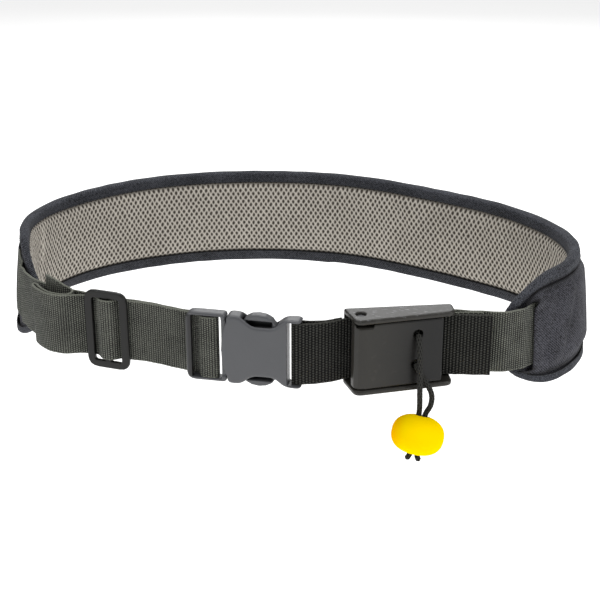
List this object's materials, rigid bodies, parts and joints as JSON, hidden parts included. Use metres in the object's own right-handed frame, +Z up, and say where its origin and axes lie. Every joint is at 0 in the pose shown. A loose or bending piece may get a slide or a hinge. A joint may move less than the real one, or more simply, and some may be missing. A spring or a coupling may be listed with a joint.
{
  "type": "quick release waist belt",
  "caption": "Padded waist belt held in its worn curve, with wide webbing through a sleeve, a side release clip, a sliding adjuster and a cam buckle opened by a ball on a cord.",
  "frame": {"origin": "middle of the waist opening, half way up the webbing", "axes": "+Z up along the wearer, +X across the belt to the side of the cam buckle, -Y to the front clip"},
  "size_m": [0.4853, 0.3184, 0.1291],
  "materials": {
    "pad_fabric": "matte woven cover",
    "spacer_mesh": "open diamond mesh",
    "binding_tape": "matte woven tape",
    "sleeve_fabric": "matte woven",
    "grey_webbing": "ribbed weave",
    "black_webbing": "ribbed weave",
    "black_plastic": "satin moulded",
    "slate_plastic": "satin moulded",
    "cam_plastic": "satin moulded",
    "pin_steel": "dark steel",
    "cord": "braided",
    "yellow_plastic": "satin"
  },
  "bodies": {
    "belt": {"back_pad": "pad_fabric", "mesh_lining": "spacer_mesh", "edge_binding": "binding_tape", "webbing_sleeve": "sleeve_fabric", "grey_webbing": "grey_webbing", "black_webbing": "black_webbing", "tri_glide": "black_plastic", "clip_socket": "slate_plastic", "clip_plug": "slate_plastic", "cam_body": "cam_plastic", "cam_pin": "pin_steel"},
    "release_lever": {"cam_lever": "cam_plastic", "pull_cord_upper": "cord", "pull_cord_lower": "cord", "cord_turn": "cord", "toggle_ball": "yellow_plastic"}
  },
  "joints": [
    {"name": "lever_hinge", "type": "hinge", "parent": "belt", "child": "release_lever", "pos_m": [0.08439, -0.13953, 0], "axis": [0, 0, -1], "range_deg": [0, 85]}
  ]
}
